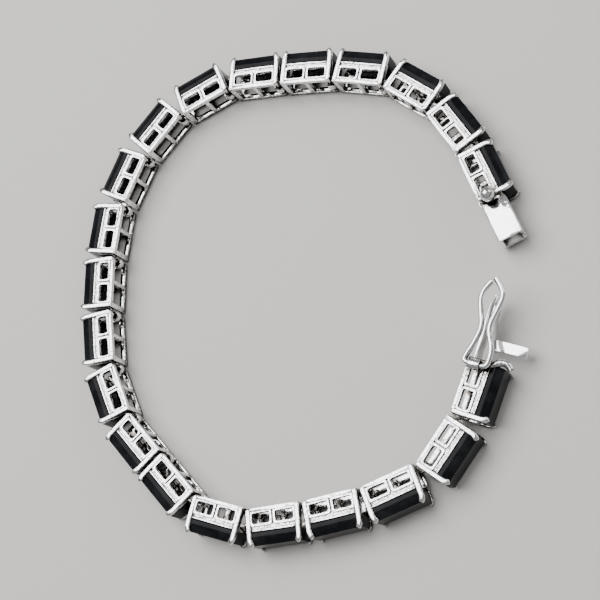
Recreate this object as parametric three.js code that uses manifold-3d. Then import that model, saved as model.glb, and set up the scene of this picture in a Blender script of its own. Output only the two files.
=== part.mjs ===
// A tennis bracelet of black step-cut stones, unclasped and laid on its edge as an open loop.
// Millimetres, +Z up, resting on Z = 0 with the middle of its outline over the origin.
//
// Link frame: the origin is the pin that the link's own hook holds, at half the band's height.
// X runs along the chain towards the box clasp, Y points outwards from the wrist and Z up.

import * as THREE from 'three';
import { mergeVertices } from 'three/addons/utils/BufferGeometryUtils.js';
import Module from 'manifold-3d';

const wasm = await Module();
wasm.setup();

// Chain
const linkPitch = 8.5; // pin to pin
const linkGap = 0.36; // between two links on a straight run
const pinInset = 0.5; // pin's centre from the link's far end and from its back
const pinRadius = 0.36;
const hookPlay = 0.2; // between a pin and the eye round it
const hookWire = 0.36;
const hookHeight = 1.1;

// The chain's route, chosen by hand: the first link's heading, then the clockwise bend at each hook
const firstHeading = -111.5;
const bends = [15, 33, 10.5, 5, 21.5, 31.5, 0.5, 19, 16.5, 6.5, 8, 17, 17.5, 25.5, 24.5, 3, 9, 23, 19.5, 11];

// Setting walls
const bandHeight = 4.8; // over the end strips
const stripProud = 0.12;
const wallThickness = 0.7;
const wallDepth = 3.3; // from the back to the stone's seat
const ledgeDepth = 0.75;
const ledgeLean = 0.12;
const windowLength = 2.7;
const windowDepth = 1.5;
const windowFromBack = 0.75;
const windowCorner = 0.2;
const middleBar = 0.8;
const solderOverlap = 0.2;

// Bars between the two walls
const endBarLength = 0.8;
const endBarDepth = 0.9;
const middlePostLength = 0.6;
const middlePostDepth = 0.7;

// Claws, one at each corner
const stripWidth = 0.75;
const stripThickness = 0.6;
const clawRise = 1.8; // from the walls' front edge to the tip
const clawHook = 0.5; // how far the tip bends along the link
const clawLean = 0.6; // how far it leans towards the middle of the stone
const endClawRise = 2.6; // the two larger claws beside the clasp
const endClawBow = 0.7;

// Stone
const stoneLength = 7.0;
const stoneWidth = 4.1;
const stoneHeight = 2.55;
const stoneCorner = 1.0;
const stoneFromBack = 2.3; // to its lowest face
const stoneClearance = 0.2;

// Box clasp
const boxLength = 5.9;
const boxDepth = 3.6;
const boxHeight = 3.6;
const boxWall = 0.45;
const boxFromBack = 0.1;
const slotLength = 2.9;

// Spring tongue with its thumb tab
const tongueLength = 9.1; // link's end to nose
const leafThickness = 0.45;
const tongueFromBack = 0.28;
const tongueOpening = 2.75; // over both leaves at the open end
const frontLeafEnd = 2.0; // its free end, from the link
const noseHeight = 0.85; // over both leaves where they meet
const noseRise = 0.3; // of the nose's tip above the back leaf's outer face
const noseFold = 1.1; // from the tip to where the leaves part
const boxClearance = 0.15;
const tabLength = 4.6;
const tabWidth = 1.45;
const tabHeight = 1.2;
const tabRoot = 0.3; // let into the front leaf

// Ball stud on the last link
const ballRadius = 0.85;
const ballPostRadius = 0.45;
const ballFromEnd = 0.35;
const ballFromBack = 1.5;

// Safety catch and its hinge tube
const catchWire = 0.68;
const catchPlay = 0.25;
const tubeWall = 0.2;
const tubeLength = 1.55;
const tubeFromEnd = 1.05;
const tubeFromBack = 1.3; // to the middle of its length
const catchLength = 12.0; // hinge to point
const catchWidth = 2.85; // across the wire's centre line
const hingeYaw = 4; // degrees, as it is soldered

// Sections of a claw: rise and bend as shares of its own sizes, size of its strip
const clawSections = [
  { rise: 0, bend: 0, lean: 0, size: 1 },
  { rise: 0.66, bend: 0.34, lean: 0.5, size: 0.95 },
  { rise: 1, bend: 1, lean: 1, size: 0.6 },
];
const endClawSections = [
  { rise: 0, bend: 0, lean: 0, size: 1 },
  { rise: 0.2, bend: -0.5, lean: 0.1, size: 1 },
  { rise: 0.5, bend: -0.95, lean: 0.35, size: 1 },
  { rise: 0.85, bend: -0.65, lean: 0.7, size: 0.95 },
  { rise: 1, bend: 0.25, lean: 1, size: 0.65 },
];

// Sections of a stone, from its lowest face to its table, as shares of its height and half sizes
const stoneSections = [
  { height: 0, length: 0.42, width: 0.3 },
  { height: 0.3, length: 0.74, width: 0.66 },
  { height: 0.58, length: 1, width: 1 },
  { height: 0.65, length: 1, width: 1 },
  { height: 1, length: 0.88, width: 0.72 },
];

// Half of the catch's outline, from hinge to point, as shares of its length and half width
const catchOutline = [
  { along: 0, across: 1 },
  { along: 0.13, across: 0.98 },
  { along: 0.28, across: 0.66 },
  { along: 0.39, across: 0.4 },
  { along: 0.5, across: 0.52 },
  { along: 0.64, across: 0.86 },
  { along: 0.77, across: 1 },
  { along: 0.88, across: 0.74 },
  { along: 0.96, across: 0.28 },
  { along: 1, across: -0.06 },
];

// Places that follow from the sizes
const halfBand = bandHeight / 2;
const wallOuter = halfBand - stripProud;
const wallInner = wallOuter - wallThickness;
const back = -pinInset;
const linkStart = pinInset + linkGap;
const linkEnd = linkPitch + pinInset;
const linkMiddle = (linkStart + linkEnd) / 2;
const eyeInner = pinRadius + hookPlay;
const eyeOuter = eyeInner + hookWire;
const hingeHeight = halfBand + catchWire / 2 + catchPlay;
const tubeBore = catchWire / 2 + catchPlay;
const tubeRadius = tubeBore + tubeWall;
const tongueHeight = boxHeight - 2 * boxWall - 2 * boxClearance;

// Fineness of the round shapes
const eyeCurve = 5;
const tubeCurve = 6;
const wireCurve = 3;
const catchSteps = 16;
const weldDistance = 1e-5;

const silver = new THREE.MeshStandardMaterial({ color: 0xdcdcdf, metalness: 1, roughness: 0.14 });
const springSilver = new THREE.MeshStandardMaterial({ color: 0xd4d4d6, metalness: 1, roughness: 0.2 });
const onyx = new THREE.MeshStandardMaterial({ color: 0x0b0c0e, metalness: 0, roughness: 0.08 });

function solidOf(geometry) {
  const bare = geometry.clone();
  bare.deleteAttribute('normal');
  bare.deleteAttribute('uv');
  const merged = mergeVertices(bare, weldDistance);
  return new wasm.Manifold(new wasm.Mesh({
    numProp: 3,
    vertProperties: new Float32Array(merged.getAttribute('position').array),
    triVerts: new Uint32Array(merged.index.array),
  }));
}

function geometryOf(solid) {
  const mesh = solid.getMesh();
  const geometry = new THREE.BufferGeometry();
  geometry.setAttribute('position', new THREE.BufferAttribute(mesh.vertProperties, 3));
  geometry.setIndex(new THREE.BufferAttribute(mesh.triVerts, 1));
  geometry.computeVertexNormals();
  return geometry;
}

function joined(first, ...others) {
  return others.reduce((sum, solid) => sum.add(solid), first);
}

function blockGeometry(from, to) {
  const geometry = new THREE.BoxGeometry(to[0] - from[0], to[1] - from[1], to[2] - from[2]);
  geometry.translate((from[0] + to[0]) / 2, (from[1] + to[1]) / 2, (from[2] + to[2]) / 2);
  return geometry;
}

function block(from, to) {
  return solidOf(blockGeometry(from, to));
}

// An outline in X and Y, given height along Z about the middle of the band
function upright(shape, height, curveSegments = 1) {
  const geometry = new THREE.ExtrudeGeometry(shape, { depth: height, bevelEnabled: false, curveSegments });
  geometry.translate(0, 0, -height / 2);
  return solidOf(geometry);
}

function polygon(points) {
  return new THREE.Shape(points.map(([x, y]) => new THREE.Vector2(x, y)));
}

function ringShape(outer, inner) {
  const shape = new THREE.Shape();
  shape.absarc(0, 0, outer, 0, 2 * Math.PI);
  const hole = new THREE.Path();
  hole.absarc(0, 0, inner, 0, 2 * Math.PI, true);
  shape.holes.push(hole);
  return shape;
}

function cornerCutRectangle(x, y, length, depth, corner) {
  return polygon([
    [x + corner, y],
    [x + length - corner, y],
    [x + length, y + corner],
    [x + length, y + depth - corner],
    [x + length - corner, y + depth],
    [x + corner, y + depth],
    [x, y + depth - corner],
    [x, y + corner],
  ]);
}

// Closed body through rings of equally many points, with a flat cap at each end
function loft(rings) {
  const count = rings[0].length;
  const last = (rings.length - 1) * count;
  const index = [];
  for (let ring = 0; ring < rings.length - 1; ring += 1) {
    for (let i = 0; i < count; i += 1) {
      const a = ring * count + i;
      const b = ring * count + ((i + 1) % count);
      index.push(a, b, a + count, b, b + count, a + count);
    }
  }
  for (let i = 1; i < count - 1; i += 1) {
    index.push(0, i + 1, i, last, last + i, last + i + 1);
  }
  const geometry = new THREE.BufferGeometry().setFromPoints(rings.flat());
  geometry.setIndex(index);
  if (signedVolume(geometry) < 0) {
    geometry.setIndex(index.reverse());
  }
  return geometry;
}

function signedVolume(geometry) {
  const place = geometry.getAttribute('position');
  const index = geometry.index.array;
  const corner = (n) => new THREE.Vector3().fromBufferAttribute(place, index[n]);
  let volume = 0;
  for (let n = 0; n < index.length; n += 3) {
    volume += corner(n).dot(corner(n + 1).cross(corner(n + 2))) / 6;
  }
  return volume;
}

function stoneRing(row, growth) {
  const halfLength = row.length * stoneLength / 2 + growth;
  const halfWidth = row.width * stoneWidth / 2 + growth;
  const cut = stoneCorner * Math.min(row.length, row.width);
  const fromMiddle = (row.height - 0.5) * (stoneHeight + 2 * growth);
  const y = back + stoneFromBack + stoneHeight / 2 + fromMiddle;
  const quarter = [[halfLength, halfWidth - cut], [halfLength - cut, halfWidth]];
  const corners = [
    ...quarter,
    ...quarter.map(([x, z]) => [-x, z]).reverse(),
    ...quarter.map(([x, z]) => [-x, -z]),
    ...quarter.map(([x, z]) => [x, -z]).reverse(),
  ];
  return corners.map(([x, z]) => new THREE.Vector3(linkMiddle + x, y, z));
}

function stoneSolid(growth) {
  return solidOf(loft(stoneSections.map((row) => stoneRing(row, growth))));
}

// One wall over the link's length, above (level 1) or below (level -1) the middle of the band
function wallRun(level) {
  const front = back + wallDepth;
  const section = polygon([
    [back, level * wallInner],
    [back, level * wallOuter],
    [front - ledgeDepth, level * wallOuter],
    [front, level * (wallOuter - ledgeLean)],
    [front, level * wallInner],
  ]);
  const run = new THREE.ExtrudeGeometry(section, { depth: linkEnd - linkStart, bevelEnabled: false });
  run.applyMatrix4(new THREE.Matrix4().makeBasis(
    new THREE.Vector3(0, 1, 0),
    new THREE.Vector3(0, 0, 1),
    new THREE.Vector3(1, 0, 0),
  ));
  run.translate(linkStart, 0, 0);
  return solidOf(run);
}

function windowFrom(x) {
  const outline = cornerCutRectangle(x, back + windowFromBack, windowLength, windowDepth, windowCorner);
  return upright(outline, 2 * bandHeight);
}

// Both walls, with a back corner rounded about the far pin so that the next link can turn
function settingWalls() {
  const front = back + wallDepth;
  const outline = new THREE.Shape();
  outline.moveTo(linkStart, back);
  outline.lineTo(linkPitch, back);
  outline.absarc(linkPitch, 0, pinInset, -0.5 * Math.PI, 0);
  outline.lineTo(linkEnd, front);
  outline.lineTo(linkStart, front);
  return joined(wallRun(1), wallRun(-1))
    .intersect(upright(outline, 2 * bandHeight))
    .subtract(windowFrom(linkMiddle - middleBar / 2 - windowLength))
    .subtract(windowFrom(linkMiddle + middleBar / 2));
}

// One claw: a strip up the wall's end that bends over the stone's corner
function claw(end, level, sections, rise, bend) {
  const inwards = end === 'start' ? 1 : -1;
  const stripMiddle = (end === 'start' ? linkStart : linkEnd) + inwards * stripWidth / 2;
  const front = back + wallDepth;
  const rows = sections.map((row) => ({
    x: stripMiddle + inwards * row.bend * bend,
    y: front + row.rise * rise,
    z: halfBand - stripThickness / 2 - row.lean * clawLean,
    size: row.size,
  }));
  rows.unshift({ ...rows[0], y: 0 });
  const rings = rows.map((row, i) => {
    const before = rows[Math.max(i - 1, 0)];
    const after = rows[Math.min(i + 1, rows.length - 1)];
    const along = new THREE.Vector2(after.x - before.x, after.y - before.y).normalize();
    const halfWidth = row.size * stripWidth / 2;
    const halfThickness = row.size * stripThickness / 2;
    return [[-1, -1], [1, -1], [1, 1], [-1, 1]].map(([across, up]) => new THREE.Vector3(
      row.x + across * halfWidth * along.y,
      row.y - across * halfWidth * along.x,
      level * (row.z + up * halfThickness),
    ));
  });
  return solidOf(loft(rings));
}

function claws(startSections, startRise, startBend) {
  return [-1, 1].flatMap((level) => [
    claw('start', level, startSections, startRise, startBend),
    claw('end', level, clawSections, clawRise, clawHook),
  ]);
}

function pin(x) {
  const height = 2 * (wallInner + solderOverlap);
  const geometry = new THREE.CylinderGeometry(pinRadius, pinRadius, height, 8);
  geometry.rotateX(Math.PI / 2);
  geometry.translate(x, 0, 0);
  return solidOf(geometry);
}

function betweenWalls(x, length, depth) {
  const reach = wallInner + solderOverlap;
  return block([x, back, -reach], [x + length, back + depth, reach]);
}

function eye() {
  return upright(ringShape(eyeOuter, eyeInner), hookHeight, eyeCurve);
}

// The eye round a neighbour's pin at the origin, with its neck to what carries it
function hook(reachTo) {
  const neckStart = eyeInner + hookWire / 2;
  const neck = block(
    [neckStart, -neckStart / 2, -hookHeight / 2],
    [reachTo, neckStart / 2, hookHeight / 2],
  );
  return joined(eye(), neck);
}

// Walls, pin, post and claws, cut back round the stone that they hold
function settingFrame(frameClaws) {
  return joined(
    settingWalls(),
    pin(linkPitch),
    betweenWalls(linkMiddle - middlePostLength / 2, middlePostLength, middlePostDepth),
    ...frameClaws,
  ).subtract(stoneSolid(stoneClearance));
}

function settingBody() {
  return joined(
    settingFrame(claws(clawSections, clawRise, clawHook)),
    betweenWalls(linkStart, endBarLength, endBarDepth),
    hook(linkStart + endBarLength / 2),
  );
}

// The first link holds the tongue on a pin and carries the catch's hinge tube on its upper wall
function firstSettingBody() {
  const tube = new THREE.ExtrudeGeometry(ringShape(tubeRadius, tubeBore), {
    depth: tubeLength,
    bevelEnabled: false,
    curveSegments: tubeCurve,
  });
  tube.translate(0, 0, -tubeLength / 2);
  tube.rotateX(Math.PI / 2);
  const saddle = blockGeometry(
    [-tubeRadius / 2, -tubeLength / 2, wallOuter - solderOverlap - hingeHeight],
    [tubeRadius / 2, tubeLength / 2, -tubeBore - tubeWall / 2],
  );
  const placed = [tube, saddle].map((geometry) => {
    geometry.rotateZ(THREE.MathUtils.degToRad(hingeYaw));
    geometry.translate(linkStart + tubeFromEnd, back + tubeFromBack, hingeHeight);
    return solidOf(geometry);
  });
  return joined(
    settingFrame(claws(endClawSections, endClawRise, endClawBow)),
    pin(linkStart + pinInset),
    ...placed,
  );
}

// The last link carries the ball stud that the catch snaps over
function lastSettingBody() {
  const x = linkEnd - ballFromEnd;
  const y = back + ballFromBack;
  const ball = new THREE.SphereGeometry(ballRadius, 12, 8);
  ball.rotateX(Math.PI / 2);
  ball.translate(x, y, halfBand + ballRadius);
  const post = new THREE.CylinderGeometry(ballPostRadius, ballPostRadius, ballRadius + stripProud + solderOverlap, 8);
  post.rotateX(Math.PI / 2);
  post.translate(x, y, halfBand + (ballRadius - stripProud - solderOverlap) / 2);
  return joined(settingBody(), solidOf(ball), solidOf(post));
}

// Box with an open mouth and a slot in its front wall for the thumb tab
function boxBody() {
  const y = back + boxFromBack;
  const end = linkStart + boxLength;
  const half = boxHeight / 2;
  const slotHalf = tabHeight / 2 + boxClearance;
  const shell = block([linkStart, y, -half], [end, y + boxDepth, half]);
  const inside = block(
    [linkStart + boxWall, y + boxWall, boxWall - half],
    [end + boxWall, y + boxDepth - boxWall, half - boxWall],
  );
  const slot = block(
    [end - slotLength, y + boxDepth - 2 * boxWall, -slotHalf],
    [end + boxWall, y + boxDepth + boxWall, slotHalf],
  );
  return joined(shell.subtract(inside).subtract(slot), hook(linkStart + boxWall / 2));
}

// Folded spring: a back leaf from the eye to the nose and a front leaf that ends in the thumb tab.
// Its frame has the first link's start pin at the origin.
function tongueBody() {
  const nose = -pinInset - tongueLength;
  const low = back + tongueFromBack;
  const openEnd = -pinInset - frontLeafEnd;
  const openTop = low + tongueOpening;
  const leaves = polygon([
    [-eyeInner, low],
    [nose + leafThickness, low],
    [nose, low + noseRise],
    [nose + leafThickness, low + noseHeight],
    [openEnd, openTop],
    [openEnd, openTop - leafThickness],
    [nose + noseFold, low + leafThickness],
    [-eyeInner, low + leafThickness],
  ]);
  const tab = block(
    [openEnd - tabWidth, openTop - leafThickness - tabRoot, -tabHeight / 2],
    [openEnd, openTop + tabLength, tabHeight / 2],
  );
  return joined(upright(leaves, tongueHeight), tab, eye());
}

// One strand of the catch from its hinge to its point, on the side given
function catchStrand(side) {
  const points = catchOutline.map((row) => new THREE.Vector3(
    -row.along * catchLength,
    side * row.across * catchWidth / 2,
    0,
  ));
  const wire = new THREE.Shape();
  wire.absarc(0, 0, catchWire / 2, 0, 2 * Math.PI);
  return solidOf(new THREE.ExtrudeGeometry(wire, {
    steps: catchSteps,
    curveSegments: wireCurve,
    bevelEnabled: false,
    extrudePath: new THREE.CatmullRomCurve3(points),
  }));
}

function catchBody() {
  const axleLength = catchWidth + catchWire;
  const axle = new THREE.CylinderGeometry(catchWire / 2, catchWire / 2, axleLength, 8);
  return joined(solidOf(axle), catchStrand(1), catchStrand(-1));
}

function named(name, geometry, material) {
  const mesh = new THREE.Mesh(geometry, material);
  mesh.name = name;
  return mesh;
}

function tongueAt() {
  const tongue = named('clasp_tongue', geometryOf(tongueBody()), springSilver);
  tongue.position.x = linkStart + pinInset;
  return tongue;
}

function catchAt() {
  const catchPiece = named('safety_catch', geometryOf(catchBody()), silver);
  catchPiece.position.set(linkStart + tubeFromEnd, back + tubeFromBack, hingeHeight);
  catchPiece.rotation.z = THREE.MathUtils.degToRad(hingeYaw);
  return catchPiece;
}

function buildBracelet() {
  const bracelet = new THREE.Group();
  const setting = geometryOf(settingBody());
  const firstSetting = geometryOf(firstSettingBody());
  const lastSetting = geometryOf(lastSettingBody());
  const stone = geometryOf(stoneSolid(0));
  const linkCount = bends.length + 1;
  const pinPlace = new THREE.Vector2(0, 0);
  let heading = THREE.MathUtils.degToRad(firstHeading);

  for (let i = 0; i < linkCount; i += 1) {
    const number = String(i + 1).padStart(2, '0');
    const link = new THREE.Group();
    link.position.set(pinPlace.x, pinPlace.y, 0);
    link.rotation.z = heading;
    let body = setting;
    if (i === 0) {
      body = firstSetting;
    } else if (i === linkCount - 1) {
      body = lastSetting;
    }
    link.add(named(`setting_${number}`, body, silver));
    link.add(named(`stone_${number}`, stone, onyx));
    if (i === 0) {
      link.add(tongueAt(), catchAt());
    }
    bracelet.add(link);
    pinPlace.x += linkPitch * Math.cos(heading);
    pinPlace.y += linkPitch * Math.sin(heading);
    if (i < bends.length) {
      heading -= THREE.MathUtils.degToRad(bends[i]);
    }
  }

  const box = named('clasp_box', geometryOf(boxBody()), silver);
  box.position.set(pinPlace.x, pinPlace.y, 0);
  box.rotation.z = heading;
  bracelet.add(box);
  return bracelet;
}

// Set the bracelet down on Z = 0 with the middle of its outline over the origin
function restOnFloor(piece) {
  piece.updateMatrixWorld(true);
  const bounds = new THREE.Box3().setFromObject(piece, true);
  const middle = bounds.getCenter(new THREE.Vector3());
  piece.position.set(-middle.x, -middle.y, -bounds.min.z);
  piece.updateMatrixWorld(true);
  return piece;
}

export default restOnFloor(buildBracelet());
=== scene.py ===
import math

import bmesh
import bpy
from mathutils import Matrix, Vector


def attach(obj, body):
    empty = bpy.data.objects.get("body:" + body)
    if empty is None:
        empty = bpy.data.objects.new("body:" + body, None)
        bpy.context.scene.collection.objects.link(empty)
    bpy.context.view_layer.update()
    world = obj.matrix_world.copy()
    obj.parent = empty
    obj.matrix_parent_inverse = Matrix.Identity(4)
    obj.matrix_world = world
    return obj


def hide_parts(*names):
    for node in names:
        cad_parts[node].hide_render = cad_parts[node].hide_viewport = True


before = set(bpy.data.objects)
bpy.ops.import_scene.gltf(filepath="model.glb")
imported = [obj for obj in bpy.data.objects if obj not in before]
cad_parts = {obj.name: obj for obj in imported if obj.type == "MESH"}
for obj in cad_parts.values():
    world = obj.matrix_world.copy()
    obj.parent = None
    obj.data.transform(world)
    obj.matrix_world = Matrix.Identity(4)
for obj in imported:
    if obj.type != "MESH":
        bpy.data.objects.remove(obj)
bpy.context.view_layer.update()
bpy.ops.object.select_all(action="DESELECT")
print("frame loaded")

# Pieces are shaped in millimetres in their link's own frame, and then put in their place in metres.
# That frame has the pin that the link's hook holds at its origin, X along the chain towards the box
# clasp, Y outwards from the wrist, and Z up from the middle of the band.
millimetre = 0.001
touching = 0.001  # places nearer to each other than this, in millimetres, are one place
aligned = 0.99  # an edge or a normal with more than this along an axis follows the axis
axisX, axisY, axisZ = range(3)

chain = {
    "firstPin": (26.846, -12.695, 2.4),
    "pitch": 8.5,
    "firstHeading": -111.5,
    # how far the chain turns from each link to the next, in degrees
    "bends": [15, 33, 10.5, 5, 21.5, 31.5, 0.5, 19, 16.5, 6.5,
              8, 17, 17.5, 25.5, 24.5, 3, 9, 23, 19.5, 11],
}


# The place of each link, and of the box clasp, which goes on straight behind the last link
def linkPlaces():
    x, y, z = chain["firstPin"]
    heading = chain["firstHeading"]
    places = []
    for bend in chain["bends"] + [0, 0]:
        turned = Matrix.Rotation(math.radians(heading), 4, "Z")
        moved = Matrix.Translation(Vector((x, y, z)) * millimetre)
        places.append(moved @ turned @ Matrix.Scale(millimetre, 4))
        x += chain["pitch"] * math.cos(math.radians(heading))
        y += chain["pitch"] * math.sin(math.radians(heading))
        heading -= bend
    return places


# Small tools for working on a mesh

def takeUp(piece):
    bpy.ops.object.select_all(action="DESELECT")
    piece.select_set(True)
    bpy.context.view_layer.objects.active = piece


def namedStart(name):
    bpy.ops.object.transform_apply(location=True, rotation=True, scale=True)
    bpy.context.object.name = name
    return bpy.context.object


def startBlock(name, low, high):
    bpy.ops.object.select_all(action="DESELECT")
    middle = [(a + b) / 2 for a, b in zip(low, high)]
    size = [b - a for a, b in zip(low, high)]
    bpy.ops.mesh.primitive_cube_add(size=1, location=middle, scale=size)
    return namedStart(name)


def startRod(name, radius, length, middle, axis, sides):
    bpy.ops.object.select_all(action="DESELECT")
    quarter = math.pi / 2
    turn = [(0, quarter, 0), (quarter, 0, 0), (0, 0, 0)][axis]
    bpy.ops.mesh.primitive_cylinder_add(
        vertices=sides, radius=radius, depth=length, location=middle, rotation=turn)
    return namedStart(name)


def edit(piece):
    takeUp(piece)
    bpy.ops.object.mode_set(mode="EDIT")
    bpy.ops.mesh.select_all(action="SELECT")


def leave():
    bpy.ops.object.mode_set(mode="OBJECT")


def middleOf(part):
    if isinstance(part, bmesh.types.BMEdge):
        return (part.verts[0].co + part.verts[1].co) / 2
    return part.calc_center_median()


def pick(piece, kind, test):
    bpy.ops.mesh.select_mode(type=kind)
    bpy.ops.mesh.select_all(action="DESELECT")
    shape = bmesh.from_edit_mesh(piece.data)
    for part in shape.edges if kind == "EDGE" else shape.faces:
        if test(part):
            part.select_set(True)
    shape.select_flush_mode()
    bmesh.update_edit_mesh(piece.data)


def liesAt(part, x=None, y=None, z=None):
    pairs = zip(middleOf(part), (x, y, z))
    return all(there is None or abs(here - there) < touching for here, there in pairs)


def runsAlong(edge, axis):
    way = edge.verts[1].co - edge.verts[0].co
    return abs(way.normalized()[axis]) > aligned


def facesAlong(face, axis, way):
    return face.normal[axis] * way > aligned


def cutAcross(places, axis):
    for place in places:
        point = [0, 0, 0]
        point[axis] = place
        way = [0, 0, 0]
        way[axis] = 1
        bpy.ops.mesh.select_all(action="SELECT")
        bpy.ops.mesh.bisect(plane_co=point, plane_no=way)


# Makes an opening through a plate that lies flat
def openBetween(piece, lowX, highX, lowY, highY):
    def within(part, margin):
        spot = middleOf(part)
        return lowX - margin < spot.x < highX + margin and lowY - margin < spot.y < highY + margin
    pick(piece, "FACE", lambda face: abs(face.normal.z) > aligned and within(face, 0))
    bpy.ops.mesh.delete(type="FACE")
    pick(piece, "EDGE", lambda edge: edge.is_boundary and within(edge, touching))
    bpy.ops.mesh.bridge_edge_loops()


flatCut, softRound, fullRound = 1, 2, 3  # how many faces an edge is rounded with


def roundEdges(width, segments):
    bpy.ops.mesh.bevel(offset=width, segments=segments, affect="EDGES")


# Rounds the upright edges at each crossing of these places
def roundCorners(piece, placesX, placesY, width, segments):
    pick(piece, "EDGE", lambda edge: runsAlong(edge, axisZ)
         and any(liesAt(edge, x, y) for x in placesX for y in placesY))
    roundEdges(width, segments)


def pushOut(shift):
    bpy.ops.mesh.extrude_region_move(TRANSFORM_OT_translate={"value": shift})


def turnAbout(spot, degrees):
    bpy.ops.transform.rotate(value=-math.radians(degrees), orient_axis="Z", center_override=spot)


# Draws the selected face out through rows of (middle, turn about Z, size), starting from the first row
def drawOut(rows):
    for (spot, turn, size), (nextSpot, nextTurn, nextSize) in zip(rows, rows[1:]):
        pushOut(Vector(nextSpot) - Vector(spot))
        turnAbout(nextSpot, nextTurn - turn)
        ratio = nextSize / size
        bpy.ops.transform.resize(value=(ratio, ratio, ratio), center_override=nextSpot)


drawnWire = {
    "stepsAlong": 8,
    "stepsRound": 5,
    "order": 4,
}


def wirePath(name, points, depth):
    line = bpy.data.curves.new(name, "CURVE")
    line.dimensions = "3D"
    line.resolution_u = drawnWire["stepsAlong"]
    line.bevel_depth = depth
    line.bevel_resolution = drawnWire["stepsRound"]
    line.use_fill_caps = True
    run = line.splines.new("NURBS")
    run.points.add(len(points) - 1)
    for point, spot in zip(run.points, points):
        point.co = (*spot, 1)
    run.order_u = drawnWire["order"]
    run.use_endpoint_u = True
    wire = bpy.data.objects.new(name, line)
    bpy.context.scene.collection.objects.link(wire)
    takeUp(wire)
    bpy.ops.object.convert(target="MESH")
    return bpy.context.object


sharpAngle = 40  # an edge that turns by more than this, in degrees, is softened


def softenEdges(piece, width, segments=softRound, angle=sharpAngle):
    takeUp(piece)
    bevel = piece.modifiers.new("softened edges", "BEVEL")
    bevel.width = width
    bevel.segments = segments
    bevel.limit_method = "ANGLE"
    bevel.angle_limit = math.radians(angle)
    bpy.ops.object.modifier_apply(modifier=bevel.name)


def joinPieces(pieces, name):
    takeUp(pieces[0])
    for piece in pieces:
        piece.select_set(True)
    bpy.ops.object.join()
    pieces[0].name = name
    return pieces[0]


def copyOf(piece, name):
    copy = piece.copy()
    copy.data = piece.data.copy()
    copy.name = name
    bpy.context.scene.collection.objects.link(copy)
    return copy


def mirroredDown(piece, name):
    copy = copyOf(piece, name)
    edit(copy)
    bpy.ops.transform.resize(value=(1, 1, -1), center_override=(0, 0, 0))
    bpy.ops.mesh.flip_normals()
    leave()
    return copy


def remove(*pieces):
    for piece in pieces:
        bpy.data.objects.remove(piece)


# Settings. Each has an upper half, a lower half that mirrors it, and bars and pins between the two.

setting = {
    "start": 0.86,
    "end": 9.0,
    "back": -0.5,
    "front": 2.8,
    "wallInner": 1.58,
    "wallOuter": 2.28,
    "seatCut": 0.24,
    "windowLength": 2.7,
    "windowDepth": 1.5,
    "windowFromBack": 0.75,
    "windowRound": 0.34,
    "middleBar": 0.8,
    "railWidth": 0.54,
    "railInset": 0.1,
    "rimWidth": 0.26,
    "rimInset": 0.015,
    "rimBelowRail": 0.01,
    "rimRound": 0.5,
    "lipWidth": 0.34,
    "lipBelowWall": 0.1,
    "lipSoftening": 0.09,
    "proud": 0.05,
    "groove": 0.2,
    "sunk": 0.1,
    "roundSteps": 4,
    "pinRound": 0.5,
    "pinSteps": 6,
    "softening": 0.045,
}
setting["middle"] = (setting["start"] + setting["end"]) / 2
setting["plateTop"] = setting["wallOuter"] - setting["groove"]
setting["windowLow"] = setting["back"] + setting["windowFromBack"]
setting["windowHigh"] = setting["windowLow"] + setting["windowDepth"]


def windowStarts():
    half = setting["middleBar"] / 2
    return [setting["middle"] - half - setting["windowLength"], setting["middle"] + half]


def upperWall():
    s = setting
    wall = startBlock(
        "wall", (s["start"], s["back"], s["wallInner"]), (s["end"], s["front"], s["plateTop"]))
    windowEnds = [x + along for x in windowStarts() for along in (0, s["windowLength"])]
    windowSides = (s["windowLow"], s["windowHigh"])
    edit(wall)
    cutAcross(windowEnds, axisX)
    cutAcross(windowSides, axisY)
    for lowX in windowStarts():
        openBetween(wall, lowX, lowX + s["windowLength"], *windowSides)
    roundCorners(wall, windowEnds, windowSides, s["windowRound"], s["roundSteps"])
    pick(wall, "EDGE", lambda edge: runsAlong(edge, axisX)
         and liesAt(edge, y=s["front"], z=s["wallInner"]))
    roundEdges(s["seatCut"], flatCut)
    roundCorners(wall, [s["end"]], [s["back"]], s["pinRound"], s["pinSteps"])
    leave()
    softenEdges(wall, s["softening"])
    return wall


# A raised rim round each window. Where two meet, their rounded corners leave a groove like a Y.
def windowRim(lowX):
    s = setting
    highX = lowX + s["windowLength"]
    outerX = (lowX - s["rimWidth"], highX + s["rimWidth"])
    outerY = (s["windowLow"] - s["rimWidth"], s["windowHigh"] + s["rimWidth"])
    innerX = (lowX - s["rimInset"], highX + s["rimInset"])
    innerY = (s["windowLow"] - s["rimInset"], s["windowHigh"] + s["rimInset"])
    top = s["wallOuter"] + s["proud"] - s["rimBelowRail"]
    rim = startBlock(
        "rim", (outerX[0], outerY[0], s["plateTop"] - s["sunk"]), (outerX[1], outerY[1], top))
    edit(rim)
    cutAcross(innerX, axisX)
    cutAcross(innerY, axisY)
    openBetween(rim, *innerX, *innerY)
    roundCorners(rim, innerX, innerY, s["windowRound"], s["roundSteps"])
    roundCorners(rim, outerX, outerY, s["rimRound"], s["roundSteps"])
    leave()
    softenEdges(rim, s["softening"])
    return rim


# The raised rails along the back edge and along the stone's seat
def edgeRails():
    s = setting
    startX = s["start"] + s["railInset"]
    base = s["plateTop"] - s["sunk"]
    back = startBlock(
        "backRail", (startX, s["back"], base),
        (s["end"] - s["pinRound"], s["back"] + s["railWidth"], s["wallOuter"] + s["proud"]))
    lip = startBlock(
        "seatLip", (startX, s["front"] - s["lipWidth"], base),
        (s["end"] - s["railInset"], s["front"], s["wallOuter"] - s["lipBelowWall"]))
    softenEdges(back, s["softening"])
    softenEdges(lip, s["lipSoftening"], fullRound)
    return [back, lip]


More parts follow.
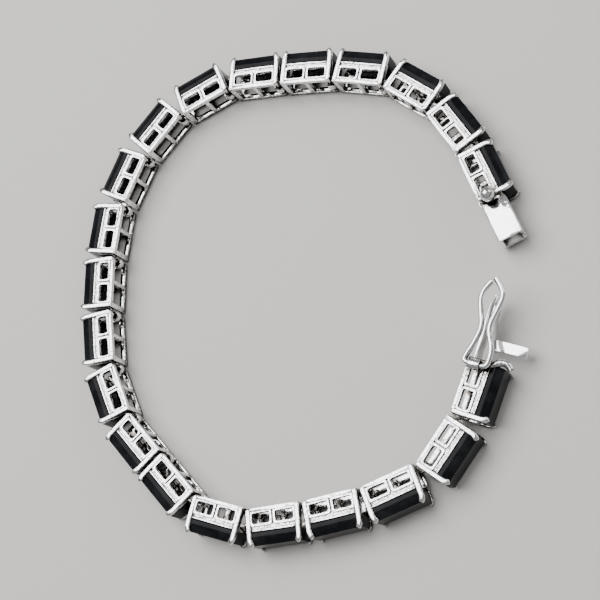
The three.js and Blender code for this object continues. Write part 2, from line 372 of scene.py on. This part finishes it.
claw = {
    "width": 0.82,
    "thickness": 0.6,
    "top": 2.4,
    "corner": 0.22,
    "cornerAngle": 50,
    "pinSteps": 5,
    # how far it has risen past the wall, bent along the link and leant over the stone; its turn and size
    "rows": [
        (0.0, 0.0, 0.0, 0, 1.0),
        (1.0, 0.0, 0.0, 0, 1.0),
        (1.3, 0.05, 0.02, 14, 1.0),
        (1.58, 0.16, 0.05, 30, 1.0),
        (1.95, 0.43, 0.1, 46, 0.96),
    ],
    "bigRound": 0.49,
    "bigTipShare": 0.6,  # how much of its radius the big claw's tip is rounded by
    "bigTipSteps": 4,
    "bigTipAngle": 60,
    # places of the big claw's middle, from inside its strip to its tip over the stone
    "bigPath": [(1.3, 2.2, 1.91), (1.3, 2.75, 1.91), (1.05, 3.15, 1.91), (0.7, 3.55, 1.91),
                (0.46, 4.1, 1.9), (0.48, 4.75, 1.84), (0.8, 5.25, 1.76), (1.18, 5.5, 1.68)],
}


def clawStrip(end):
    inwards = 1 if end == "start" else -1
    middle = setting[end] + inwards * claw["width"] / 2
    low = (middle - claw["width"] / 2, setting["back"], claw["top"] - claw["thickness"])
    high = (middle + claw["width"] / 2, setting["front"], claw["top"])
    return startBlock("claw", low, high), middle, inwards


def plainClaw(end):
    strip, middle, inwards = clawStrip(end)
    height = claw["top"] - claw["thickness"] / 2
    edit(strip)
    if end == "end":
        roundCorners(strip, [setting["end"]], [setting["back"]], setting["pinRound"], claw["pinSteps"])
    pick(strip, "FACE", lambda face: facesAlong(face, axisY, 1))
    drawOut([
        ((middle + inwards * bend, setting["front"] + rise, height - lean), -inwards * turn, size)
        for rise, bend, lean, turn, size in claw["rows"]
    ])
    leave()
    softenEdges(strip, claw["corner"], fullRound, claw["cornerAngle"])
    return strip


# The big claw bows out past the end of the stone before it turns in over it
def bigClaw():
    strip = clawStrip("start")[0]
    softenEdges(strip, claw["corner"], fullRound, claw["cornerAngle"])
    arc = wirePath("bigClaw", claw["bigPath"], claw["bigRound"])
    softenEdges(arc, claw["bigTipShare"] * claw["bigRound"], claw["bigTipSteps"], claw["bigTipAngle"])
    return joinPieces([strip, arc], "bigClaw")


bars = {
    "reach": 1.78,
    "pinRadius": 0.36,
    "pinInset": 0.5,
    "pinSides": 24,
    "endLength": 0.8,
    "endDepth": 0.9,
    "postLength": 0.6,
    "postDepth": 0.7,
    "corner": 0.1,
}


def pinAt(x):
    return startRod("pin", bars["pinRadius"], 2 * bars["reach"], (x, 0, 0), axisZ, bars["pinSides"])


def barAt(x, length, depth):
    low = (x, setting["back"], -bars["reach"])
    bar = startBlock("bar", low, (x + length, setting["back"] + depth, bars["reach"]))
    softenEdges(bar, bars["corner"], fullRound)
    return bar


hook = {
    "inner": 0.52,
    "outer": 0.83,
    "height": 0.95,
    "corner": 0.1,
}
ringSides = 40


def ring(name, outer, inner, height, middle, axis):
    tube = startRod(name, outer, height, middle, axis, ringSides)
    edit(tube)
    pick(tube, "FACE", lambda face: abs(face.normal[axis]) > aligned)
    bpy.ops.mesh.inset(thickness=outer - inner)
    bpy.ops.mesh.bridge_edge_loops()
    leave()
    return tube


def hookEye():
    eye = ring("hook", hook["outer"], hook["inner"], hook["height"], (0, 0, 0), axisZ)
    softenEdges(eye, hook["corner"], fullRound)
    return eye


def hookTo(reach):
    eye = hookEye()
    wireMiddle = (hook["inner"] + hook["outer"]) / 2
    half = wireMiddle / 2
    neck = startBlock("neck", (wireMiddle, -half, -hook["height"] / 2), (reach, half, hook["height"] / 2))
    softenEdges(neck, hook["corner"], fullRound)
    return [eye, neck]


def upperHalf(startClaw):
    half = [upperWall()] + edgeRails() + [windowRim(x) for x in windowStarts()]
    return joinPieces(half + [startClaw, plainClaw("end")], "upperHalf")


# What every setting has. The lower half keeps plain claws, whatever the upper one starts with.
def settingPiece(startClaw):
    plain = upperHalf(plainClaw("start"))
    lower = mirroredDown(plain, "lowerHalf")
    remove(plain)
    post = barAt(setting["middle"] - bars["postLength"] / 2, bars["postLength"], bars["postDepth"])
    return [upperHalf(startClaw), lower, pinAt(chain["pitch"]), post]


def linkSetting():
    bar = barAt(setting["start"], bars["endLength"], bars["endDepth"])
    hooked = hookTo(setting["start"] + bars["endLength"] / 2)
    return joinPieces(settingPiece(plainClaw("start")) + [bar] + hooked, "linkSetting")


ball = {
    "radius": 1.03,
    "sunk": 0.36,
    "fromEnd": 0.27,
    "fromBack": 1.6,
    "segments": 40,
    "rings": 24,
    "neckFrom": 0.8,  # how far down its radius the ball's faces turn into the neck
    "neckDrop": 0.2,
    "neckSpread": 1.05,
    "neckBelowClaw": 0.02,
    "collarDrop": 0.12,
    "collarSpread": 1.44,
}


def ballStud():
    b = ball
    x = setting["end"] - b["fromEnd"]
    y = setting["back"] + b["fromBack"]
    z = claw["top"] + b["radius"] - b["sunk"]
    bpy.ops.object.select_all(action="DESELECT")
    bpy.ops.mesh.primitive_uv_sphere_add(
        segments=b["segments"], ring_count=b["rings"], radius=b["radius"], location=(x, y, z))
    stud = namedStart("ballStud")
    edit(stud)
    pick(stud, "FACE", lambda face: middleOf(face).z < z - b["neckFrom"] * b["radius"])
    pushOut((0, 0, -b["neckDrop"]))
    wider = b["neckSpread"]
    neckEnd = claw["top"] - b["neckBelowClaw"]
    bpy.ops.transform.resize(value=(wider, wider, 0), center_override=(x, y, neckEnd))
    pushOut((0, 0, -b["collarDrop"]))
    wider = b["collarSpread"]
    bpy.ops.transform.resize(value=(wider, wider, 1), center_override=(x, y, setting["wallOuter"]))
    leave()
    return stud


tube = {
    "outer": 0.79,
    "bore": 0.59,
    "length": 1.55,
    "fromStart": 1.05,
    "fromBack": 1.3,
    "height": 2.99,
    "yaw": 4,
    "softening": 0.06,
    "footHalf": 0.45,
    "footInset": 0.08,
    "footSunk": 0.1,
    "footGap": 0.04,
    "footSoftening": 0.05,
}


def hingeTube():
    t = tube
    spot = Vector((setting["start"] + t["fromStart"], setting["back"] + t["fromBack"], t["height"]))
    barrel = ring("hingeTube", t["outer"], t["bore"], t["length"], spot, axisY)
    softenEdges(barrel, t["softening"], fullRound)
    footBase = setting["wallOuter"] - t["footSunk"]
    footTop = t["height"] - t["bore"] - t["footGap"]
    foot = startBlock(
        "tubeFoot",
        (spot.x - t["footHalf"], spot.y - t["length"] / 2 + t["footInset"], footBase),
        (spot.x + t["footHalf"], spot.y + t["length"] / 2 - t["footInset"], footTop))
    softenEdges(foot, t["footSoftening"])
    hinge = joinPieces([barrel, foot], "hingeTube")
    edit(hinge)
    turnAbout(spot, t["yaw"])
    leave()
    return hinge


def firstSetting():
    pieces = settingPiece(bigClaw())
    pin = pinAt(setting["start"] + bars["pinInset"])
    return joinPieces(pieces + [pin, hingeTube()], "firstSetting")


def lastSetting(plain):
    return joinPieces([copyOf(plain, "lastSetting"), ballStud()], "lastSetting")


# Stones. Each is an octagon step cut.

stone = {
    "length": 7.7,
    "width": 4.3,
    "corner": 0.45,
    "girdleLow": 3.28,
    "girdleHigh": 3.46,
    # steps as (height, share of the length, share of the width)
    "crown": [(4.1, 0.99, 0.92), (4.66, 0.97, 0.78)],
    "pavilion": [(2.9, 0.98, 0.965), (2.55, 0.8, 0.68), (1.8, 0.42, 0.3)],
    "edge": 0.014,
    "edgeAngle": 8,
    "smoothing": 2,
}


def cutStone():
    s = stone
    middle = setting["middle"]
    gem = startBlock(
        "cutStone",
        (middle - s["length"] / 2, s["girdleLow"], -s["width"] / 2),
        (middle + s["length"] / 2, s["girdleHigh"], s["width"] / 2))
    edit(gem)
    pick(gem, "EDGE", lambda edge: runsAlong(edge, axisY))
    roundEdges(s["corner"], flatCut)
    for side, steps, level in ((1, s["crown"], s["girdleHigh"]), (-1, s["pavilion"], s["girdleLow"])):
        pick(gem, "FACE", lambda face: facesAlong(face, axisY, side))
        along, across = 1, 1
        for height, lengthShare, widthShare in steps:
            pushOut((0, height - level, 0))
            bpy.ops.transform.resize(
                value=(lengthShare / along, 1, widthShare / across), center_override=(middle, height, 0))
            level, along, across = height, lengthShare, widthShare
    leave()
    softenEdges(gem, s["edge"], flatCut, s["edgeAngle"])
    return gem


# Box clasp, open towards the tongue, with a slot for the tongue's tab

box = {
    "start": 0.86,
    "end": 6.76,
    "back": -0.4,
    "front": 3.2,
    "half": 1.8,
    "wall": 0.45,
    "slotLength": 2.9,
    "slotHalf": 0.75,
    "slotPast": 1,
    "corner": 0.2,
    "cornerSteps": 4,
    "edge": 0.05,
    "edgeAngle": 50,
}


def claspBox():
    b = box
    shell = startBlock("claspBox", (b["start"], b["back"], -b["half"]), (b["end"], b["front"], b["half"]))
    edit(shell)
    pick(shell, "EDGE", lambda edge: runsAlong(edge, axisX))
    roundEdges(b["corner"], b["cornerSteps"])
    pick(shell, "FACE", lambda face: facesAlong(face, axisX, 1))
    bpy.ops.mesh.inset(thickness=b["wall"])
    depth = b["end"] - b["start"] - b["wall"]
    pushOut((-depth, 0, 0))
    leave()
    slot = startBlock(
        "slot", (b["end"] - b["slotLength"], b["front"] - 2 * b["wall"], -b["slotHalf"]),
        (b["end"] + b["slotPast"], b["front"] + b["slotPast"], b["slotHalf"]))
    cut = shell.modifiers.new("slot", "BOOLEAN")
    cut.operation = "DIFFERENCE"
    cut.solver = "EXACT"
    cut.object = slot
    bpy.context.view_layer.objects.active = shell
    bpy.ops.object.modifier_apply(modifier=cut.name)
    remove(slot)
    softenEdges(shell, b["edge"], softRound, b["edgeAngle"])
    return joinPieces([shell] + hookTo(b["start"] + b["wall"] / 2), "claspBox")


# Spring tongue, folded at its nose. Its own pin is the first link's start pin.

tongue = {
    "pin": 1.36,
    "thickness": 0.5,
    "half": 1.2,
    "back": -0.22,
    "rootLength": 0.5,
    "nose": -9.85,
    "foldGap": 0.05,
    "foldSize": 0.55,
    "foldSteps": 8,
    "noseLength": 1.3,
    "closedEnd": -6.9,
    "openEnd": -2.3,
    "openTop": 2.15,
    "tabLength": 4.4,
    "tabWidth": 1.48,
    "tabHalf": 0.6,
    "tabEdge": 0.07,
    "lean": 2,
    "edge": 0.06,
    "edgeAngle": 50,
}


# The leaf's rows for drawOut: along the lower leaf, round the fold, and back along the upper leaf
def leafRows(rootX):
    t = tongue
    thick, small = t["thickness"], t["foldSize"]
    centre = t["back"] + thick / 2
    bend = (small * thick + t["foldGap"]) / 2
    foldX = t["nose"] + bend + small * thick / 2
    fullX = foldX + t["noseLength"]
    rows = [((rootX, centre, 0), 0, 1), ((fullX, centre, 0), 0, 1), ((foldX, centre, 0), 0, small)]
    for step in range(1, t["foldSteps"] + 1):
        angle = step / t["foldSteps"] * math.pi
        x = foldX - bend * math.sin(angle)
        y = centre + bend - bend * math.cos(angle)
        rows.append(((x, y, 0), -math.degrees(angle), small))
    high = centre + thick + t["foldGap"]
    openY = t["openTop"] - thick / 2
    spread = math.degrees(math.atan2(openY - high, t["openEnd"] - t["closedEnd"]))
    rows.append(((fullX, high, 0), -180, 1))
    rows.append(((t["closedEnd"], high, 0), spread / 2 - 180, 1))
    rows.append(((t["openEnd"], openY, 0), spread - 180, 1))
    return rows


def springTongue():
    t = tongue
    thick = t["thickness"]
    leafStart = -hook["inner"]
    rootX = leafStart - t["rootLength"]
    leaf = startBlock("leaf", (rootX, t["back"], -t["half"]), (leafStart, t["back"] + thick, t["half"]))
    edit(leaf)
    pick(leaf, "FACE", lambda face: facesAlong(face, axisX, -1))
    drawOut(leafRows(rootX))
    leave()
    softenEdges(leaf, t["edge"], softRound, t["edgeAngle"])
    tab = startBlock(
        "tab", (t["openEnd"] - t["tabWidth"], t["openTop"] - thick, -t["tabHalf"]),
        (t["openEnd"], t["openTop"] + t["tabLength"], t["tabHalf"]))
    softenEdges(tab, t["tabEdge"], fullRound)
    piece = joinPieces([leaf, tab, hookEye()], "springTongue")
    edit(piece)
    turnAbout((0, 0, 0), t["lean"])
    bpy.ops.transform.translate(value=(t["pin"], 0, 0))
    leave()
    return piece


# Safety catch: one wire, bent into a figure of eight and turned about the hinge tube

catch = {
    "wire": 0.82,
    "height": 2.99,
    "hinge": (1.91, 0.8),
    "hingeHalf": 0.6,
    # places of the wire's middle, from the hinge to the point
    "left": [(1.86, -0.6), (1.55, -0.86), (0.9, -0.72), (-0.4, -0.36), (-1.7, -0.12), (-3.0, 0.06),
             (-4.1, -0.25), (-5.4, -0.82), (-6.7, -1.36), (-7.85, -1.42), (-8.95, -1.06), (-9.6, -0.66)],
    "right": [(1.86, 2.2), (1.55, 2.46), (0.8, 2.54), (-0.6, 2.42), (-1.85, 1.75), (-3.05, 1.12),
              (-4.2, 1.03), (-5.6, 1.28), (-6.9, 1.48), (-8.0, 1.52), (-8.85, 1.16), (-9.6, 0.4),
              (-10.15, -0.25)],
    "tipRise": 0.1,
}


def safetyCatch():
    c = catch
    high = c["height"]
    hingeX, hingeY = c["hinge"]
    left = [(x, y, high) for x, y in reversed(c["left"])]
    middle = [(hingeX, hingeY - c["hingeHalf"], high), (hingeX, hingeY + c["hingeHalf"], high)]
    right = [(x, y, high) for x, y in c["right"]]
    right[-1] = (*c["right"][-1], high + c["tipRise"])
    return wirePath("safetyCatch", left + middle + right, c["wire"] / 2)


# Materials. A noise is given as (scale, detail, roughness), and a range as (low, high).

def noiseNode(nodes, links, coordinates, noise):
    made = nodes.new("ShaderNodeTexNoise")
    for socket, value in zip(("Scale", "Detail", "Roughness"), noise):
        made.inputs[socket].default_value = value
    links.new(coordinates, made.inputs["Vector"])
    return made


def rangeNode(nodes, links, value, taken, given=(0, 1)):
    span = nodes.new("ShaderNodeMapRange")
    span.inputs["From Min"].default_value = taken[0]
    span.inputs["From Max"].default_value = taken[1]
    span.inputs["To Min"].default_value = given[0]
    span.inputs["To Max"].default_value = given[1]
    links.new(value, span.inputs["Value"])
    return span.outputs["Result"]


def bumpNode(nodes, links, height, depth, strength=1.0, sunken=False):
    bump = nodes.new("ShaderNodeBump")
    bump.invert = sunken
    bump.inputs["Strength"].default_value = strength
    bump.inputs["Distance"].default_value = depth
    links.new(height, bump.inputs["Height"])
    return bump


marks = {
    "smudges": (500.0, 4.0, 0.6),
    "smudgeRange": (0.42, 0.68),
    "scratches": (700.0, 2.0, 0.5),
    "scratchRange": (0.66, 0.74),
    "scratchTurns": (0.5, 2.1),
    "scratchTilt": (0.7, 0.4, 1.0),
    "scratchStretch": (1.0, 14.0, 14.0),
}


# Handling marks: cloudy smudges and fine scratches that run in two directions
def handlingMarks():
    group = bpy.data.node_groups.new("handlingMarks", "ShaderNodeTree")
    face = group.interface
    face.new_socket(name="Vector", in_out="INPUT", socket_type="NodeSocketVector")
    smudgeScale = face.new_socket(name="Smudge Scale", in_out="INPUT", socket_type="NodeSocketFloat")
    smudgeScale.default_value = marks["smudges"][0]
    face.new_socket(name="Smudge", in_out="OUTPUT", socket_type="NodeSocketFloat")
    face.new_socket(name="Scratches", in_out="OUTPUT", socket_type="NodeSocketFloat")
    nodes, links = group.nodes, group.links
    entry = nodes.new("NodeGroupInput")
    leaving = nodes.new("NodeGroupOutput")
    cloud = noiseNode(nodes, links, entry.outputs["Vector"], marks["smudges"])
    links.new(entry.outputs["Smudge Scale"], cloud.inputs["Scale"])
    smudge = rangeNode(nodes, links, cloud.outputs["Fac"], marks["smudgeRange"])
    links.new(smudge, leaving.inputs["Smudge"])
    both = nodes.new("ShaderNodeMath")
    both.operation = "MAXIMUM"
    for turn, socket in zip(marks["scratchTurns"], both.inputs):
        mapping = nodes.new("ShaderNodeMapping")
        mapping.inputs["Rotation"].default_value = [turn * tilt for tilt in marks["scratchTilt"]]
        mapping.inputs["Scale"].default_value = marks["scratchStretch"]
        links.new(entry.outputs["Vector"], mapping.inputs["Vector"])
        streak = noiseNode(nodes, links, mapping.outputs["Vector"], marks["scratches"])
        links.new(rangeNode(nodes, links, streak.outputs["Fac"], marks["scratchRange"]), socket)
    links.new(both.outputs["Value"], leaving.inputs["Scratches"])
    return group


sharedMarks = handlingMarks()


def effectNode(nodes, links, effect, place):
    group = nodes.new("ShaderNodeGroup")
    group.node_tree = effect
    links.new(place, group.inputs["Vector"])
    return group


def materialStart(name):
    material = bpy.data.materials.new(name)
    material.use_nodes = True
    nodes, links = material.node_tree.nodes, material.node_tree.links
    shader = nodes["Principled BSDF"]
    place = nodes.new("ShaderNodeTexCoord").outputs["Object"]
    wear = effectNode(nodes, links, sharedMarks, place)
    return material, nodes, links, shader, place, wear


silver = {
    "bright": (0.93, 0.93, 0.935, 1),
    # tones of the painted shade in recesses, between parts and near the floor; the spring's is lighter
    "shadeTone": (0.1, 0.09, 0.08, 1),
    "springShadeTone": (0.7, 0.69, 0.68, 1),
    "recessReach": 0.0016,
    "recessSamples": 8,
    # how much the noise adds to the openness, and the sums below which the painted shade is full and
    # above which it is gone
    "speckled": (1.2, 1.28, 1.6),
    "even": (0.2, 0.6, 1.02),
    "mottling": (2900.0, 2.0, 0.5),
    "ripples": (420.0, 2.0, 0.4),
    "rippleDepth": 0.00009,
    "scratchDepth": 0.000002,
}


# Cast metal: painted shade that darkens the metal in recesses, between parts and near the floor, broken
# up by a speckle of noise, and a soft ripple
def castSpeckleAndShade():
    group = bpy.data.node_groups.new("castSpeckleAndShade", "ShaderNodeTree")
    face = group.interface
    face.new_socket(name="Vector", in_out="INPUT", socket_type="NodeSocketVector")
    for name in ("Speckle", "Dark Below", "Bright Above"):
        face.new_socket(name=name, in_out="INPUT", socket_type="NodeSocketFloat")
    for name in ("Dark", "Bright"):
        face.new_socket(name=name, in_out="INPUT", socket_type="NodeSocketColor")
    face.new_socket(name="Color", in_out="OUTPUT", socket_type="NodeSocketColor")
    face.new_socket(name="Ripple", in_out="OUTPUT", socket_type="NodeSocketFloat")
    nodes, links = group.nodes, group.links
    entry = nodes.new("NodeGroupInput").outputs
    leaving = nodes.new("NodeGroupOutput").inputs
    # ambient occlusion paints shade into the base colour wherever the metal is hemmed in by itself, other
    # parts or the floor
    recess = nodes.new("ShaderNodeAmbientOcclusion")
    recess.samples = silver["recessSamples"]
    recess.inputs["Distance"].default_value = silver["recessReach"]
    grain = noiseNode(nodes, links, entry["Vector"], silver["mottling"])
    mottled = nodes.new("ShaderNodeMath")
    mottled.operation = "MULTIPLY_ADD"
    for value, socket in zip((grain.outputs["Fac"], entry["Speckle"], recess.outputs["AO"]),
                             mottled.inputs):
        links.new(value, socket)
    openness = nodes.new("ShaderNodeMapRange")
    links.new(mottled.outputs["Value"], openness.inputs["Value"])
    links.new(entry["Dark Below"], openness.inputs["From Min"])
    links.new(entry["Bright Above"], openness.inputs["From Max"])
    tone = nodes.new("ShaderNodeMix")
    tone.data_type = "RGBA"
    links.new(openness.outputs["Result"], tone.inputs["Factor"])
    links.new(entry["Dark"], tone.inputs["A"])
    links.new(entry["Bright"], tone.inputs["B"])
    links.new(tone.outputs["Result"], leaving["Color"])
    wave = noiseNode(nodes, links, entry["Vector"], silver["ripples"])
    links.new(wave.outputs["Fac"], leaving["Ripple"])
    return group


sharedSpeckleAndShade = castSpeckleAndShade()

# how strong the ripples are, the roughness from polished to smudged, the tone of the painted shade in
# recesses, the speckle
silverFinishes = {
    "castSilver": (1.0, (0.06, 0.2), silver["shadeTone"], silver["speckled"]),
    "cleanSilver": (2.0, (0.06, 0.2), silver["shadeTone"], silver["even"]),
    "springSilver": (0.4, (0.07, 0.18), silver["springShadeTone"], silver["even"]),
}


def silverMaterial(name, ripple, roughness, shadeTone, speckle):
    material, nodes, links, shader, place, wear = materialStart(name)
    shader.inputs["Metallic"].default_value = 1.0
    surface = effectNode(nodes, links, sharedSpeckleAndShade, place)
    # the speckle and the painted shade in recesses: how strong the speckle is, and where the painted
    # shade is full and where it is gone
    for socket, value in zip(("Speckle", "Dark Below", "Bright Above"), speckle):
        surface.inputs[socket].default_value = value
    surface.inputs["Dark"].default_value = shadeTone
    surface.inputs["Bright"].default_value = silver["bright"]
    links.new(surface.outputs["Color"], shader.inputs["Base Color"])
    rough = rangeNode(nodes, links, wear.outputs["Smudge"], (0, 1), roughness)
    links.new(rough, shader.inputs["Roughness"])
    soft = bumpNode(nodes, links, surface.outputs["Ripple"], silver["rippleDepth"] * ripple)
    fine = bumpNode(nodes, links, wear.outputs["Scratches"], silver["scratchDepth"], sunken=True)
    links.new(soft.outputs["Normal"], fine.inputs["Normal"])
    links.new(fine.outputs["Normal"], shader.inputs["Normal"])
    return material


onyx = {
    "black": (0.006, 0.0065, 0.008, 1),
    "cloud": (0.016, 0.017, 0.019, 1),
    "roughness": (0.03, 0.12),
    "index": 1.54,
    "gleam": 0.06,
    "smudgeScale": 350.0,
    "scratchStrength": 0.5,
    "scratchDepth": 0.000001,
}


def onyxMaterial():
    material, nodes, links, shader, place, wear = materialStart("polishedOnyx")
    shader.inputs["IOR"].default_value = onyx["index"]
    shader.inputs["Specular IOR Level"].default_value = onyx["gleam"]
    wear.inputs["Smudge Scale"].default_value = onyx["smudgeScale"]
    smudge = wear.outputs["Smudge"]
    tone = nodes.new("ShaderNodeMix")
    tone.data_type = "RGBA"
    tone.inputs["A"].default_value = onyx["black"]
    tone.inputs["B"].default_value = onyx["cloud"]
    links.new(smudge, tone.inputs["Factor"])
    links.new(tone.outputs["Result"], shader.inputs["Base Color"])
    links.new(rangeNode(nodes, links, smudge, (0, 1), onyx["roughness"]), shader.inputs["Roughness"])
    scratches = wear.outputs["Scratches"]
    fine = bumpNode(nodes, links, scratches, onyx["scratchDepth"], onyx["scratchStrength"], sunken=True)
    links.new(fine.outputs["Normal"], shader.inputs["Normal"])
    return material


castSilver, cleanSilver, springSilver = (
    silverMaterial(name, *finish) for name, finish in silverFinishes.items())
blackOnyx = onyxMaterial()
print("materials made")


# Putting each piece in its place

metalSmoothing = 35


def settle(piece, name, place, material, body, node, smoothing=metalSmoothing):
    mesh = piece.data
    mesh.transform(place)
    piece.name = name
    mesh.materials.clear()
    mesh.materials.append(material)
    takeUp(piece)
    bpy.ops.object.shade_smooth_by_angle(angle=math.radians(smoothing))
    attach(piece, body)
    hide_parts(node)


places = linkPlaces()
plainSetting = linkSetting()
first = firstSetting()
last = lastSetting(plainSetting)
gem = cutStone()
print("setting and stone modelled")

linkCount = len(chain["bends"]) + 1
for index in range(linkCount):
    number = f"{index + 1:02d}"
    if index == 0:
        metal = first
    elif index == linkCount - 1:
        metal = last
    else:
        metal = copyOf(plainSetting, "settingCopy")
    settle(metal, f"settingMetal_{number}", places[index], castSilver, "bracelet",
           f"setting_{number}")
    settle(copyOf(gem, "stoneCopy"), f"cutOnyx_{number}", places[index], blackOnyx, "bracelet",
           f"stone_{number}", stone["smoothing"])
remove(plainSetting, gem)
print("links in place")

settle(claspBox(), "boxShell", places[linkCount], cleanSilver, "bracelet", "clasp_box")
settle(springTongue(), "foldedTongue", places[0], springSilver, "bracelet",
       "clasp_tongue")
settle(safetyCatch(), "catchWire", places[0], cleanSilver, "safety_catch", "safety_catch")
print("clasp in place")


# Floor, lights and camera

studio = {
    "floor": (0.7, 0.685, 0.66, 1),
    "floorSize": 3.0,
    "floorRoughness": 0.6,
    "floorGleam": 0.25,
    "floorGrain": (1500.0, 4.0, 0.55),
    "floorGrainDepth": 0.00002,
    "skyRange": (0.1, 0.8),
    "skyLevels": (0.22, 0.33),  # how bright the sky is at the horizon and overhead
    # each light's place, size and power; all of them point at the middle of the floor
    "softboxes": {
        "overheadSoftbox": ((-0.165, 0.13, 0.45), 0.42, 3.3),
        "sideSoftbox": ((0.5, 0.35, 0.35), 0.35, 0.8),
    },
}


def paleFloor():
    bpy.ops.object.select_all(action="DESELECT")
    bpy.ops.mesh.primitive_plane_add(size=studio["floorSize"], location=(0, 0, 0))
    floor = bpy.context.object
    floor.name = "paleFloor"
    material = bpy.data.materials.new("palePaper")
    material.use_nodes = True
    nodes, links = material.node_tree.nodes, material.node_tree.links
    shader = nodes["Principled BSDF"]
    shader.inputs["Base Color"].default_value = studio["floor"]
    shader.inputs["Roughness"].default_value = studio["floorRoughness"]
    shader.inputs["Specular IOR Level"].default_value = studio["floorGleam"]
    place = nodes.new("ShaderNodeTexCoord").outputs["Object"]
    grain = noiseNode(nodes, links, place, studio["floorGrain"])
    bump = bumpNode(nodes, links, grain.outputs["Fac"], studio["floorGrainDepth"])
    links.new(bump.outputs["Normal"], shader.inputs["Normal"])
    floor.data.materials.append(material)


def softLight(name, place, size, power):
    light = bpy.data.lights.new(name, "AREA")
    light.shape = "SQUARE"
    light.size = size
    light.energy = power
    lamp = bpy.data.objects.new(name, light)
    bpy.context.scene.collection.objects.link(lamp)
    lamp.location = place
    lamp.rotation_euler = (-Vector(place)).to_track_quat("-Z", "Y").to_euler()


def skyDome():
    world = bpy.data.worlds.new("studio")
    bpy.context.scene.world = world
    world.use_nodes = True
    nodes, links = world.node_tree.nodes, world.node_tree.links
    background = nodes["Background"]
    place = nodes.new("ShaderNodeTexCoord").outputs["Generated"]
    split = nodes.new("ShaderNodeSeparateXYZ")
    links.new(place, split.inputs["Vector"])
    level = rangeNode(nodes, links, split.outputs["Z"], studio["skyRange"], studio["skyLevels"])
    links.new(level, background.inputs["Color"])


photoCamera = {
    "place": (69.97, -57.98, 174.9),
    "right": (0.928, 0.0, -0.3726),
    "up": (0.1073, 0.9577, 0.2673),
    "lens": 80.6,
    "sensor": 36.0,
    "clipStart": 0.01,
}


def placeCamera():
    p = photoCamera
    lens = bpy.data.cameras.new("photoCamera")
    lens.lens = p["lens"]
    lens.sensor_width = p["sensor"]
    lens.clip_start = p["clipStart"]
    camera = bpy.data.objects.new("photoCamera", lens)
    bpy.context.scene.collection.objects.link(camera)
    right = Vector(p["right"]).normalized()
    back = right.cross(Vector(p["up"])).normalized()
    up = back.cross(right)
    turned = Matrix((right, up, back)).transposed().to_4x4()
    camera.matrix_world = Matrix.Translation(Vector(p["place"]) * millimetre) @ turned
    bpy.context.scene.camera = camera


paleFloor()
skyDome()
for name, (place, size, power) in studio["softboxes"].items():
    softLight(name, place, size, power)
placeCamera()
print("studio ready")
